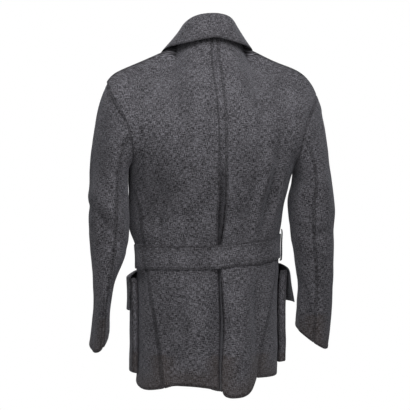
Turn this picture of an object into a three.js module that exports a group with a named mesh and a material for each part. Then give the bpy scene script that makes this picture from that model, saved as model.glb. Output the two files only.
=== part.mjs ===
// A belted wool coat, worn form with no wearer, in millimetres.
// +Z is up, the back faces -Y and +X is the wearer's right. The origin is at the base of the neck.
import * as THREE from 'three';

// Driving dimensions
const wall = 2.5;
const seamGap = 0.5;
const armholeGap = 0.95;
const armpitHeight = -262;
const capFrom = -215;
const capTo = -100;
const capFrontRise = 0.55;
const capFrontDepth = 40;
const beltWidth = 54;
const beltClearance = 0.9;
const frontLap = 25;
const underLap = 15;
const lapOffset = 2.2;
const rollRadius = 4.5;
const buttonRadius = 11;
const buttonHeight = 4;
const skirtRows = 9;
const beltRows = 2;
const chestRows = 6;
const lowerRows = skirtRows + beltRows + chestRows;
const beltMargin = 3;
const upperRows = 9;
const neckColumns = 5;
const backNeckHeight = 33;
const shoulderColumns = 8;
const backColumns = neckColumns + shoulderColumns;
const flatPleat = 4.2;
const steepPleat = 10.2;
const pleatRoom = 4;
const elbowSeam = 4;
const foreSeam = 15;
const collarColumns = 26;
const lapelWidth = 3.2;
const lapelClearance = 0.9;
const loopClearance = 0.7;
const loopSeat = 0.35;
const flapClearance = 0.9;
const loopEase = 1.2;
const bagCrown = 3;
const buttonClearance = 0.8;
const buttonColumn = 0.7;
const beltColumns = 52;
const beltStart = -222;
const beltEnd = 170;
const beltLapFrom = 166;
const beltLapRun = 18;
const beltLapGap = 0.9;
const frontLapFrom = 138;
const frontLapTo = 158;
const beltButtonAngle = -207;

// Body sections below the arms, by height: half-widths, depth of the widest line and how far it lies
// further ahead on the left, back and front depths.
const bodySections = [
  { z: -790, left: 167, right: 159, side: 43, ahead: 0, back: -108, front: 174, square: 2.05 },
  { z: -660, left: 164, right: 158.5, side: 38, ahead: 0, back: -99, front: 165, square: 2.05 },
  { z: -570, left: 163, right: 159.5, side: 32, ahead: 2, back: -93, front: 155, square: 2.05 },
  { z: -490, left: 164, right: 160.5, side: 28, ahead: 8, back: -88, front: 148, square: 2.05 },
  { z: -440, left: 166.5, right: 161, side: 24, ahead: 16, back: -88, front: 145, square: 2.05 },
  { z: -390, left: 186, right: 163, side: 16, ahead: 26, back: -99, front: 140, square: 2.1 },
  { z: -330, left: 183.5, right: 171, side: 4, ahead: 32, back: -121, front: 134, square: 2.2 },
  { z: armpitHeight, left: 188, right: 186, side: -8, ahead: 0, back: -140, front: 128, square: 2.3 },
];

// Side seams, by height, as degrees round from the centre back.
const sideSeams = [
  { z: -770, left: 43, right: 32 },
  { z: -673, left: 49, right: 40 },
  { z: -602, left: 55, right: 49 },
  { z: -497, left: 61.5, right: 62 },
  { z: -440, left: 63.5, right: 66 },
  { z: -390, left: 58.5, right: 70 },
  { z: -330, left: 66, right: 77 },
  { z: armpitHeight, left: 90, right: 90 },
];

// Hem height round the coat, by degrees from the centre back towards the wearer's right.
const hemHeights = [
  { at: -180, z: -737 }, { at: -92, z: -749 }, { at: -82, z: -759 }, { at: -62, z: -761 },
  { at: -44, z: -752 }, { at: -35, z: -745 }, { at: -21, z: -746 }, { at: -8, z: -750 },
  { at: -2, z: -753 }, { at: 1.5, z: -757 }, { at: 4, z: -767 }, { at: 10, z: -772 }, { at: 17, z: -771 },
  { at: 24, z: -765 }, { at: 29, z: -754 }, { at: 34, z: -732 }, { at: 45, z: -729 },
  { at: 58, z: -735 }, { at: 90, z: -731 }, { at: 180, z: -737 },
];

// Height of the belt's middle round the coat.
const beltHeights = [
  { at: -180, z: -452 }, { at: -90, z: -465 }, { at: -20, z: -465 }, { at: 0, z: -463 },
  { at: 17, z: -457 }, { at: 40, z: -452 }, { at: 70, z: -443 }, { at: 90, z: -441 }, { at: 180, z: -452 },
];

// Centre back by height: the seam edge of the right panel, the folded edge of the left one, how deep
// that edge is rolled in and over what width, how deep the pleat lies and the depth y.
const centreBack = [
  { z: -790, seam: 4, fold: 0.5, sunk: 7, roll: 46, deep: 6, y: -112 },
  { z: -707, seam: 5, fold: 1.5, sunk: 14, roll: 44, deep: 6, y: -103 },
  { z: -657, seam: 9, fold: 5.5, sunk: 22, roll: 42, deep: 6, y: -99 },
  { z: -607, seam: 12, fold: 8.5, sunk: 25, roll: 38, deep: 6, y: -95 },
  { z: -557, seam: 9, fold: 5.5, sunk: 20, roll: 30, deep: 6, y: -92 },
  { z: -489, seam: 6, fold: 2, sunk: 7, roll: 20, deep: 7, y: -88 },
  { z: -436, seam: 6, fold: 0, sunk: 0, roll: 14, deep: 10, y: -88 },
  { z: -388, seam: 12, fold: -3, sunk: 0, roll: 14, deep: 14, y: -99 },
  { z: -320, seam: 12, fold: -4, sunk: 0, roll: 14, deep: 11, y: -125 },
  { z: armpitHeight, seam: 8, fold: -5, sunk: 0, roll: 14, deep: 6, y: -140 },
  { z: -200, seam: 7, fold: -5, sunk: 0, roll: 14, deep: 4.2, y: -145 },
  { z: -130, seam: 8, fold: -6, sunk: 0, roll: 14, deep: 4.2, y: -127 },
  { z: -76, seam: 8, fold: -7, sunk: 0, roll: 14, deep: 4.2, y: -96 },
  { z: -35, seam: 7, fold: -7, sunk: 0, roll: 14, deep: 4.2, y: -67 },
  { z: 0, seam: 5, fold: -6, sunk: 0, roll: 14, deep: 4.2, y: -50 },
  { z: backNeckHeight, seam: 4, fold: -6, sunk: 0, roll: 14, deep: 4.2, y: -42 },
];

// Upper curves of each half, with x towards its own side.
const leftHalf = {
  side: -1,
  neck: [[6, -42, backNeckHeight], [32, -36, 32], [57, -16, 26], [75, 15, 10]],
  shoulder: [[75, 15, 10], [110, 10, -5], [154, 5, -25.5], [207, 0, -49], [232, -5, -64], [237, -6, -75]],
  backArmhole: [[188, -8, armpitHeight], [185, -52, -256], [186, -84, -236], [190, -95, -208],
    [198, -95, -179], [211, -80, -148], [224, -60, -124], [233, -35, -100], [237, -6, -75]],
  frontArmhole: [[188, -8, armpitHeight], [187, 34, -256], [187, 60, -236], [192, 72, -200],
    [204, 66, -152], [220, 46, -110], [232, 20, -86], [237, -6, -75]],
  frontEdge: [[-frontLap, 131, armpitHeight], [-frontLap, 129, -225], [-20, 126, -192], [10, 109, -128],
    [40, 79, -66], [62, 48, -18], [75, 15, 10]],
  lap: lapOffset,
};
const rightHalf = {
  side: 1,
  neck: [[4, -42, backNeckHeight], [32, -36, 33], [57, -16, 27], [75, 15, 12]],
  shoulder: [[75, 15, 12], [95, 12, 4], [147, 6, -22], [204, 0, -44], [228, -4, -65], [243, -6, -97]],
  backArmhole: [[186, -8, armpitHeight], [183, -52, -256], [184, -82, -238], [190, -92, -212],
    [195, -89, -185], [203, -78, -163], [217, -60, -142], [233, -35, -119], [243, -6, -97]],
  frontArmhole: [[186, -8, armpitHeight], [186, 34, -256], [187, 60, -238], [192, 72, -205],
    [204, 66, -165], [220, 48, -134], [235, 22, -112], [243, -6, -97]],
  frontEdge: [[-underLap, 125, armpitHeight], [-underLap, 122, -225], [-10, 119, -192], [14, 104, -128],
    [42, 78, -66], [62, 48, -18], [75, 15, 12]],
  lap: -lapOffset,
};

// Sleeve sections down the arm: centre, half-width, half-depth, forward pitch in degrees and how far
// the outer side hangs lower.
const leftSleeve = [
  { z: -303, x: 230, y: 0, wide: 43, deep: 79, pitch: 2, slant: 0 },
  { z: -359, x: 231, y: 2, wide: 48.5, deep: 71, pitch: 4, slant: 0 },
  { z: -411, x: 230, y: 6, wide: 47, deep: 63, pitch: 8, slant: 0 },
  { z: -449, x: 229.5, y: 12, wide: 43, deep: 60, pitch: 11, slant: 0 },
  { z: -478, x: 235.5, y: 19, wide: 33.5, deep: 60, pitch: 14, slant: 0 },
  { z: -505, x: 239, y: 26, wide: 26, deep: 62, pitch: 15, slant: 2 },
  { z: -553, x: 241, y: 38, wide: 19.5, deep: 63, pitch: 16, slant: 6 },
  { z: -590, x: 243, y: 48, wide: 18, deep: 64, pitch: 17, slant: 11 },
  { z: -625, x: 244, y: 57, wide: 20, deep: 65, pitch: 17, slant: 17 },
  { z: -652, x: 246, y: 65, wide: 21, deep: 66, pitch: 17, slant: 20 },
];
const rightSleeve = [
  { z: -303, x: 234, y: 0, wide: 45, deep: 76, pitch: 2, slant: 0 },
  { z: -339, x: 231, y: 2, wide: 53, deep: 69, pitch: 4, slant: 0 },
  { z: -380, x: 234, y: 5, wide: 53.5, deep: 62, pitch: 7, slant: 0 },
  { z: -429, x: 238.5, y: 12, wide: 51.5, deep: 57, pitch: 11, slant: 0 },
  { z: -488, x: 245.5, y: 22, wide: 44.5, deep: 54, pitch: 14, slant: 1 },
  { z: -530, x: 248, y: 33, wide: 41, deep: 53, pitch: 15, slant: 5 },
  { z: -582, x: 248, y: 46, wide: 40, deep: 52, pitch: 16, slant: 12 },
  { z: -618, x: 248, y: 56, wide: 39, deep: 52, pitch: 17, slant: 17 },
  { z: -654, x: 248, y: 65, wide: 37, deep: 52, pitch: 17, slant: 23 },
];

// Collar guides from the centre back round to the front end, for each side. The seam follows the neckline.
const collarGuides = {
  lift: [[0, 0, 0.9], [0, 0, 0.9], [0, 0, 0.9], [-0.9, 0, 0.9], [-3.4, -0.9, 0.9], [-3.4, -0.9, 0.9]],
  roll: [[0, -33, 76], [36, -24, 72], [58, 2, 58], [68, 30, 38], [71, 50, 14], [66, 64, -10]],
  edge: [[0, -61, 23], [46, -53, 14], [82, -26, 8], [103, 16, 4], [112, 52, -13], [112, 84, -48]],
};

const collarEnd = [49, 67, -48];
const collarRightShare = 0.97;

// Folds of the cloth: three points in x and z, height of the ridge (a trough is negative) and half-width.
const backFolds = [
  { x1: 142, z1: -190, x2: 121, z2: -323, x3: 98, z3: -425, rise: -8, reach: 13 },
  { x1: 87, z1: -225, x2: 76, z2: -303, x3: 67, z3: -400, rise: -6, reach: 12 },
  { x1: 114, z1: -220, x2: 99, z2: -310, x3: 84, z3: -410, rise: 5, reach: 12 },
  { x1: 160, z1: -220, x2: 143, z2: -320, x3: 126, z3: -405, rise: 5, reach: 12 },
  { x1: -127, z1: -340, x2: -126, z2: -385, x3: -125, z3: -430, rise: -6, reach: 13 },
  { x1: -62, z1: -360, x2: -60, z2: -395, x3: -58, z3: -430, rise: -3, reach: 13 },
  { x1: 43, z1: -505, x2: 46, z2: -620, x3: 46, z3: -780, rise: 16, reach: 27 },
  { x1: 98, z1: -505, x2: 102, z2: -620, x3: 106, z3: -780, rise: -9, reach: 20 },
  { x1: -42, z1: -505, x2: -52, z2: -590, x3: -66, z3: -700, rise: 6, reach: 20 },
  { x1: -92, z1: -540, x2: -94, z2: -640, x3: -94, z3: -780, rise: -7, reach: 18 },
  { x1: 95, z1: -110, x2: 105, z2: -160, x3: 105, z3: -210, rise: 6, reach: 45 },
  { x1: -95, z1: -110, x2: -105, z2: -160, x3: -105, z3: -210, rise: 6, reach: 45 },
];
const frontFolds = [
  { x1: -60, z1: -500, x2: -66, z2: -620, x3: -70, z3: -780, rise: 7, reach: 22 },
  { x1: 66, z1: -500, x2: 72, z2: -620, x3: 74, z3: -780, rise: 7, reach: 22 },
  { x1: -95, z1: -330, x2: -85, z2: -380, x3: -72, z3: -430, rise: -6, reach: 16 },
  { x1: 95, z1: -330, x2: 85, z2: -380, x3: 72, z3: -430, rise: -6, reach: 16 },
];
const leftSleeveFolds = [
  { x1: -272, z1: -352, x2: -245, z2: -385, x3: -200, z3: -440, rise: -9, reach: 12 },
  { x1: -270, z1: -325, x2: -245, z2: -350, x3: -200, z3: -395, rise: 5, reach: 14 },
  { x1: -252, z1: -225, x2: -252, z2: -270, x3: -252, z3: -315, rise: -4, reach: 12 },
];
const rightSleeveFolds = [
  { x1: 214, z1: -520, x2: 222, z2: -560, x3: 234, z3: -630, rise: -6, reach: 11 },
  { x1: 195, z1: -400, x2: 235, z2: -420, x3: 275, z3: -410, rise: -6, reach: 13 },
];

// Pockets: degrees round from the centre back, heights and how far bag and flap stand off the panel.
const pocketSizes = {
  left: { rear: -82, fore: -150, top: -512, bottom: -728, proud: 14, flapTop: -497, flapEnd: -585, lift: 21 },
  right: { rear: 82, fore: 150, top: -497, bottom: -708, proud: 18, flapTop: -482, flapEnd: -570, lift: 36 },
};
const loopSizes = {
  left: { rear: -64, fore: -78, up: 30, down: 35 },
  right: { rear: 77, fore: 89, up: 38, down: 34 },
};
const bagColumns = [0, 0.012, 0.13, 0.25, 0.38, 0.5, 0.62, 0.75, 0.87, 0.988, 1];
const frontButtonRows = [18.3, 14.5, 6.9, 3.1];

const degrees = Math.PI / 180;

function smooth(from, to, value) {
  return THREE.MathUtils.smoothstep(value, from, to);
}

// Reads one column of a table at a place along its key column, on a smooth curve without overshoot.
function readTable(table, key, name, at) {
  const last = table.length - 1;
  let row = 0;
  while (row < last - 1 && at > table[row + 1][key]) {
    row += 1;
  }
  const slope = (from) => {
    const a = table[Math.max(0, from)];
    const b = table[Math.min(last, from + 1)];
    return b === a ? null : (b[name] - a[name]) / (b[key] - a[key]);
  };
  const tangent = (knot) => {
    const before = slope(knot - 1);
    const after = knot === last ? null : slope(knot);
    if (knot === 0 || before === null) return after;
    if (after === null) return before;
    return before * after <= 0 ? 0 : (2 * before * after) / (before + after);
  };
  const low = table[row];
  const high = table[row + 1];
  const span = high[key] - low[key];
  const t = THREE.MathUtils.clamp((at - low[key]) / span, 0, 1);
  const rising = 3 * t * t - 2 * t * t * t;
  const startPull = (t * t * t - 2 * t * t + t) * span * tangent(row);
  const endPull = (t * t * t - t * t) * span * tangent(row + 1);
  return low[name] * (1 - rising) + high[name] * rising + startPull + endPull;
}

function turned(angle) {
  return ((((angle + 180) % 360) + 360) % 360) - 180;
}

// Height of the cloth's folds at a place seen along Y.
function foldRise(folds, x, z) {
  let rise = 0;
  for (const fold of folds) {
    const knots = [[fold.x1, fold.z1], [fold.x2, fold.z2], [fold.x3, fold.z3]];
    let nearest = Infinity;
    let along = 0;
    for (let part = 0; part < 2; part += 1) {
      const [ax, az] = knots[part];
      const [bx, bz] = knots[part + 1];
      const length = (bx - ax) ** 2 + (bz - az) ** 2;
      const raw = ((x - ax) * (bx - ax) + (z - az) * (bz - az)) / length;
      const t = THREE.MathUtils.clamp(raw, 0, 1);
      const distance = Math.hypot(x - ax - t * (bx - ax), z - az - t * (bz - az));
      if (distance < nearest) {
        nearest = distance;
        along = (part + t) / 2;
      }
    }
    const fade = 0.35 + 0.65 * Math.sin(Math.PI * THREE.MathUtils.clamp(along, 0.08, 0.92));
    rise += fold.rise * fade * Math.exp(-((nearest / fold.reach) ** 2));
  }
  return rise;
}

// A point of the body's smooth section at an angle round from the centre back and a height.
function section(angle, z) {
  const s = Math.sin(angle * degrees);
  const c = Math.cos(angle * degrees);
  const read = (name) => readTable(bodySections, 'z', name, z);
  const square = read('square');
  const k = (Math.abs(s) ** square + Math.abs(c) ** square) ** (-1 / square);
  const half = s < 0 ? read('left') : read('right');
  const side = read('side') + (s < 0 ? read('ahead') : 0);
  const depth = c > 0 ? side - read('back') : read('front') - side;
  return new THREE.Vector3(half * s * k, side - depth * c * k, z);
}

function sectionNormal(angle, z) {
  const round = section(angle + 1, z).sub(section(angle - 1, z));
  const rise = section(angle, z + 4).sub(section(angle, z - 4));
  return round.cross(rise).normalize();
}

// A point of the body's cloth, with its folds and the belt's pull, moved out by an offset.
function bodyPoint(angle, z, offset = 0) {
  const point = section(angle, z);
  const fromBelt = Math.abs(z - readTable(beltHeights, 'at', 'z', turned(angle)));
  const freed = smooth(beltWidth / 2 + beltMargin, beltWidth / 2 + 32, fromBelt);
  const folds = Math.cos(angle * degrees) > 0 ? backFolds : frontFolds;
  const puff = 3 * smooth(beltWidth / 2 + beltMargin, beltWidth / 2 + 20, fromBelt)
    * (1 - smooth(beltWidth / 2 + 24, beltWidth / 2 + 60, fromBelt));
  const rise = freed * foldRise(folds, point.x, point.z) + puff;
  return point.addScaledVector(sectionNormal(angle, z), rise + offset);
}

function angleAt(x, z) {
  const half = readTable(bodySections, 'z', x < 0 ? 'left' : 'right', z);
  return Math.asin(x / half) / degrees;
}

// A grid of outer points with its wall, made a solid once its seams are shared.
class Panel {
  constructor(name, cloth, points) {
    Object.assign(this, { name, cloth, points });
    this.rows = points.length - 1;
    this.columns = points[0].length - 1;
    this.normals = points.map((row, i) => row.map((point, j) => this.measure(i, j)));
    this.mitres = points.map((row) => row.map(() => 1));
  }

  measure(i, j) {
    const at = (r, c) => this.points[r][c];
    const up = at(Math.min(i + 1, this.rows), j).clone().sub(at(Math.max(i - 1, 0), j));
    const across = at(i, Math.min(j + 1, this.columns)).clone().sub(at(i, Math.max(j - 1, 0)));
    return across.cross(up).normalize();
  }

  // Pulls every edge back by half the seam gap.
  trim() {
    const original = this.points.map((row) => row.map((point) => point.clone()));
    const pull = (i, j, di, dj, amount = seamGap / 2) => {
      const step = original[i + di][j + dj].clone().sub(original[i][j]).normalize();
      this.points[i][j].addScaledVector(step, amount);
    };
    for (let i = 0; i <= this.rows; i += 1) {
      pull(i, 0, 0, 1);
      pull(i, this.columns, 0, -1);
    }
    for (let j = 0; j <= this.columns; j += 1) {
      pull(0, j, 1, 0);
      pull(this.rows, j, -1, 0, this.cloth === 'sleeve' ? armholeGap : seamGap / 2);
    }
  }

  // A point of the trimmed panel between its grid points, moved out by an offset.
  at(row, column, offset) {
    const [i, j] = [Math.min(Math.floor(row), this.rows - 1), Math.min(Math.floor(column), this.columns - 1)];
    const [v, u] = [row - i, column - j];
    const blend = (grid) => {
      const low = grid[i][j].clone().lerp(grid[i][j + 1], u);
      return low.lerp(grid[i + 1][j].clone().lerp(grid[i + 1][j + 1], u), v);
    };
    return blend(this.points).addScaledVector(blend(this.normals).normalize(), offset);
  }

  inner() {
    return this.points.map((row, i) => row.map((point, j) => (
      point.clone().addScaledVector(this.normals[i][j], -wall * this.mitres[i][j]))));
  }
}

// Gives points that several panels meet at one common normal, so that their walls stay parallel.
function shareNormals(panels) {
  const meetings = new Map();
  const keyOf = (point) => point.toArray().map((value) => value.toFixed(2)).join(' ');
  for (const panel of panels) {
    panel.points.forEach((row, i) => row.forEach((point, j) => {
      const key = keyOf(point);
      if (!meetings.has(key)) meetings.set(key, new Map());
      const cloths = meetings.get(key);
      if (!cloths.has(panel.cloth)) cloths.set(panel.cloth, new THREE.Vector3());
      cloths.get(panel.cloth).add(panel.normals[i][j]);
    }));
  }
  for (const panel of panels) {
    panel.points.forEach((row, i) => row.forEach((point, j) => {
      const cloths = [...meetings.get(keyOf(point)).values()];
      const common = new THREE.Vector3();
      cloths.forEach((normal) => common.add(normal.clone().normalize()));
      panel.mitres[i][j] = 1 / Math.max(0.7, common.length() / cloths.length);
      panel.normals[i][j] = common.normalize();
    }));
  }
}

// Closes an outer and an inner grid of equal size into one solid.
function closeGrids(outer, inner) {
  const rows = outer.length;
  const columns = outer[0].length;
  const positions = [...outer.flat(), ...inner.flat()].flatMap((point) => point.toArray());
  const index = [];
  const id = (layer, i, j) => layer * rows * columns + i * columns + j;
  const quad = (a, b, c, d) => index.push(a, b, c, a, c, d);
  for (let i = 0; i < rows - 1; i += 1) {
    for (let j = 0; j < columns - 1; j += 1) {
      quad(id(0, i, j), id(0, i, j + 1), id(0, i + 1, j + 1), id(0, i + 1, j));
      quad(id(1, i, j), id(1, i + 1, j), id(1, i + 1, j + 1), id(1, i, j + 1));
    }
  }
  // Border quads are split by place alone, so that two walls that meet at a seam are split alike.
  const weight = ([i, j]) => outer[i][j].z + 0.31 * outer[i][j].y + 0.17 * Math.abs(outer[i][j].x);
  const rim = (a, b) => {
    const [outerA, outerB, innerA, innerB] = [id(0, ...a), id(0, ...b), id(1, ...a), id(1, ...b)];
    if (weight(a) > weight(b)) {
      index.push(outerA, innerA, innerB, outerA, innerB, outerB);
    } else {
      index.push(outerA, innerA, outerB, innerA, innerB, outerB);
    }
  };
  for (let j = 0; j < columns - 1; j += 1) {
    rim([0, j], [0, j + 1]);
    rim([rows - 1, j + 1], [rows - 1, j]);
  }
  for (let i = 0; i < rows - 1; i += 1) {
    rim([i + 1, 0], [i, 0]);
    rim([i, columns - 1], [i + 1, columns - 1]);
  }
  const geometry = new THREE.BufferGeometry();
  geometry.setAttribute('position', new THREE.Float32BufferAttribute(positions, 3));
  geometry.setIndex(index);
  geometry.computeVertexNormals();
  return geometry;
}

function samples(points, side, count) {
  const curve = new THREE.CatmullRomCurve3(points.map(([x, y, z]) => new THREE.Vector3(side * x, y, z)));
  return Array.from({ length: count + 1 }, (_, i) => curve.getPointAt(i / count));
}

// A point of the smooth patch between four edges, given as points, at column j and row i.
function patchPoint(edges, i, j) {
  const { bottom, top, start, end } = edges;
  const u = j / (bottom.length - 1);
  const v = i / (start.length - 1);
  const point = bottom[j].clone().multiplyScalar(1 - v).addScaledVector(top[j], v);
  point.addScaledVector(start[i], 1 - u).addScaledVector(end[i], u);
  point.addScaledVector(bottom[0], -(1 - u) * (1 - v)).addScaledVector(bottom.at(-1), -u * (1 - v));
  return point.addScaledVector(top[0], -(1 - u) * v).addScaledVector(top.at(-1), -u * v);
}

function seamAngle(side, z) {
  return side * readTable(sideSeams, 'z', side < 0 ? 'left' : 'right', z);
}

// Height of a lower row at an angle: rows fall on both edges of the belt.
function rowHeight(row, angle) {
  const hem = readTable(hemHeights, 'at', 'z', turned(angle));
  const belt = readTable(beltHeights, 'at', 'z', turned(angle));
  const reach = beltWidth / 2 + beltMargin;
  if (row <= skirtRows) return THREE.MathUtils.lerp(hem, belt - reach, row / skirtRows);
  const above = row - skirtRows;
  if (above <= beltRows) return THREE.MathUtils.lerp(belt - reach, belt + reach, above / beltRows);
  return THREE.MathUtils.lerp(belt + reach, armpitHeight, (above - beltRows) / chestRows);
}

// Rows of a body panel from the hem to the armpit, from its centre edge to its side seam.
function lowerGrid(half, columns, startAngle, lapAt) {
  const grid = [];
  for (let i = 0; i <= lowerRows; i += 1) {
    const row = [];
    for (let j = 0; j <= columns; j += 1) {
      let z = armpitHeight;
      let angle = 0;
      for (let pass = 0; pass < 3; pass += 1) {
        angle = THREE.MathUtils.lerp(startAngle(z), seamAngle(half.side, z), j / columns);
        z = rowHeight(i, angle);
      }
      row.push(bodyPoint(angle, z, lapAt(angle, z)));
    }
    grid.push(row);
  }
  return grid;
}

// Adds the rows above the armpit, filled between the chest, the centre edge, the armhole and the shoulder.
function raise(grid, edges, folds, facing) {
  const last = grid.at(-1);
  const chest = last.map((point) => {
    const rise = foldRise(folds, point.x, point.z);
    return point.clone().setY(point.y - facing * rise);
  });
  const { start, end } = edges;
  const [slipStart, slipEnd] = [chest[0].clone().sub(start[0]), chest.at(-1).clone().sub(end[0])];
  start.forEach((point, i) => point.addScaledVector(slipStart, 1 - i / upperRows));
  end.forEach((point, i) => point.addScaledVector(slipEnd, 1 - i / upperRows));
  for (let i = 1; i <= upperRows; i += 1) {
    grid.push(chest.map((_, j) => {
      const point = patchPoint({ bottom: chest, ...edges }, i, j);
      const held = smooth(0, 0.2, 1 - i / upperRows) * smooth(0, 0.2, 1 - j / (chest.length - 1));
      return point.setY(point.y + facing * held * foldRise(folds, point.x, point.z));
    }));
  }
  return grid;
}

function shoulderOf(half) {
  return samples(half.shoulder, half.side, shoulderColumns);
}

// How far the left back is rolled in beside its folded edge, below the belt.
function rolledIn(angle, z) {
  const read = (name) => readTable(centreBack, 'z', name, z);
  const half = readTable(bodySections, 'z', angle < 0 ? 'left' : 'right', z);
  const fromEdge = read('fold') - half * Math.sin(angle * degrees);
  return -read('sunk') * (1 - smooth(0, read('roll'), fromEdge));
}

function backGrid(half, edgeName) {
  const centreX = (z) => readTable(centreBack, 'z', edgeName, z);
  const sinkAt = half.side < 0 ? rolledIn : () => 0;
  const grid = lowerGrid(half, backColumns, (z) => angleAt(centreX(z), z), sinkAt);
  const start = Array.from({ length: upperRows + 1 }, (_, i) => {
    const z = THREE.MathUtils.lerp(armpitHeight, backNeckHeight, i / upperRows);
    return new THREE.Vector3(centreX(z), readTable(centreBack, 'z', 'y', z), z);
  });
  const neck = samples(half.neck, half.side, neckColumns);
  const top = [...neck.slice(0, -1), ...shoulderOf(half)];
  top[0].copy(start.at(-1));
  const end = samples(half.backArmhole, half.side, upperRows);
  return raise(grid, { top, start, end }, backFolds, -1);
}

function frontGrid(half, lapWidth) {
  const lapAt = (angle) => half.lap * smooth(150, 172, Math.abs(angle));
  const startAngle = (z) => half.side * (180 + angleAt(lapWidth, z));
  const grid = lowerGrid(half, shoulderColumns, startAngle, lapAt);
  const start = samples(half.frontEdge, half.side, upperRows);
  const end = samples(half.frontArmhole, half.side, upperRows);
  return raise(grid, { top: shoulderOf(half), start, end }, frontFolds, 1);
}

function mirrored(grid) {
  return grid.map((row) => [...row].reverse());
}

// The sleeve ring at one of its sections: column 0 is the inner side, then back, outer side and front.
const ringColumns = 2 * upperRows;
function sleeveRing(sections, folds, side, z) {
  const read = (name) => readTable(sections, 'z', name, z);
  const pitch = read('pitch') * degrees;
  const towardsBack = new THREE.Vector3(0, -Math.cos(pitch), -Math.sin(pitch));
  return Array.from({ length: ringColumns + 1 }, (_, i) => {
    const angle = (180 - (360 * i) / ringColumns) * degrees;
    const spread = new THREE.Vector3(side * Math.cos(angle), 0, 0);
    const outward = spread.clone().multiplyScalar(read('deep'));
    outward.addScaledVector(towardsBack, read('wide') * Math.sin(angle)).normalize();
    const point = new THREE.Vector3(side * read('x'), read('y'), z);
    point.addScaledVector(spread, read('wide')).addScaledVector(towardsBack, read('deep') * Math.sin(angle));
    point.z -= read('slant') * Math.cos(angle);
    return point.addScaledVector(outward, foldRise(folds, point.x, point.z));
  });
}

// The whole sleeve from cuff to armhole, its top rows curving out of the armhole's own points.
const armRows = 13;
const capRows = 5;
function sleeveGrid(half, table, folds) {
  const sections = [...table].reverse();
  const cuff = sections[0].z;
  const biceps = sections.at(-1).z;
  const grid = [];
  for (let i = 0; i <= armRows; i += 1) {
    grid.push(sleeveRing(sections, folds, half.side, THREE.MathUtils.lerp(cuff, biceps, i / armRows)));
  }
  const back = samples(half.backArmhole, half.side, upperRows);
  const front = samples(half.frontArmhole, half.side, upperRows).reverse();
  const armhole = [...back, ...front.slice(1)];
  const ring = grid.at(-1);
  for (let i = 1; i <= capRows; i += 1) {
    const t = 1 - i / capRows;
    grid.push(armhole.map((from, j) => {
      const to = ring[j];
      const high = smooth(capFrom, capTo, from.z);
      const pull = from.distanceTo(to) * THREE.MathUtils.lerp(0.8, 0.42, high);
      const fuller = capFrontRise * smooth(0, capFrontDepth, from.y);
      const leave = new THREE.Vector3(half.side * (THREE.MathUtils.lerp(0.7, 0.64, high) + fuller), 0, -0.74);
      const point = from.clone().multiplyScalar(2 * t ** 3 - 3 * t ** 2 + 1);
      point.addScaledVector(to, 3 * t ** 2 - 2 * t ** 3);
      point.addScaledVector(leave, pull * (t ** 3 - 2 * t ** 2 + t));
      point.z -= pull * (t ** 3 - t ** 2);
      return point;
    }));
  }
  return grid;
}

function columnsOf(grid, from, to) {
  return grid.map((row) => row.slice(from, to + 1));
}

function underColumns(grid) {
  return grid.map((row) => [...row.slice(foreSeam, ringColumns), ...row.slice(0, elbowSeam + 1)]);
}

// The pleat's underlay starts flush at the seam. Above the belt it slopes down under the left panel's
// edge, and below the belt it turns straight in beside that edge before it passes behind it.
function pleatGrid(rightPanel, leftPanel) {
  return rightPanel.points.map((row, i) => {
    const seam = row[0];
    const leftRow = leftPanel.points[i];
    const under = leftRow[leftPanel.columns - 2];
    const farNormal = leftPanel.normals[i][leftPanel.columns - 2];
    const [deep, sunk] = ['deep', 'sunk'].map((name) => readTable(centreBack, 'z', name, seam.z));
    const width = seam.x - leftRow[leftPanel.columns].x;
    const steep = smooth(flatPleat, steepPleat, deep);
    const turnedIn = smooth(0, flatPleat, sunk);
    const outward = rightPanel.normals[i][0].clone().lerp(new THREE.Vector3(0, -1, 0), turnedIn).normalize();
    const blend = (flat, sloped, inside) => {
      const above = THREE.MathUtils.lerp(flat, sloped, steep);
      return THREE.MathUtils.lerp(above, inside, turnedIn);
    };
    const place = (flatAt, flatDepth, steepAt, steepDepth, inAt, inDepth) => {
      const across = blend(flatAt, steepAt, inAt);
      const depth = blend(flatDepth, steepDepth, inDepth);
      const point = seam.clone().addScaledVector(outward, -depth);
      return point.setX(point.x - across);
    };
    return [
      seam.clone(),
      place(0.4 * width, 0.5, 0.12 * width, deep * 0.45, 0.4, (sunk + pleatRoom) * 0.45),
      place(0.75 * width, deep * 0.8, 0.5 * width, deep, 0.2, sunk + pleatRoom),
      place(1.15 * width, deep, 1.15 * width, deep + 1, width + pleatRoom,
        sunk + 2 * pleatRoom),
      under.clone().addScaledVector(farNormal, -Math.max(wall + 2, deep * 0.6)),
    ].reverse();
  });
}

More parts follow.
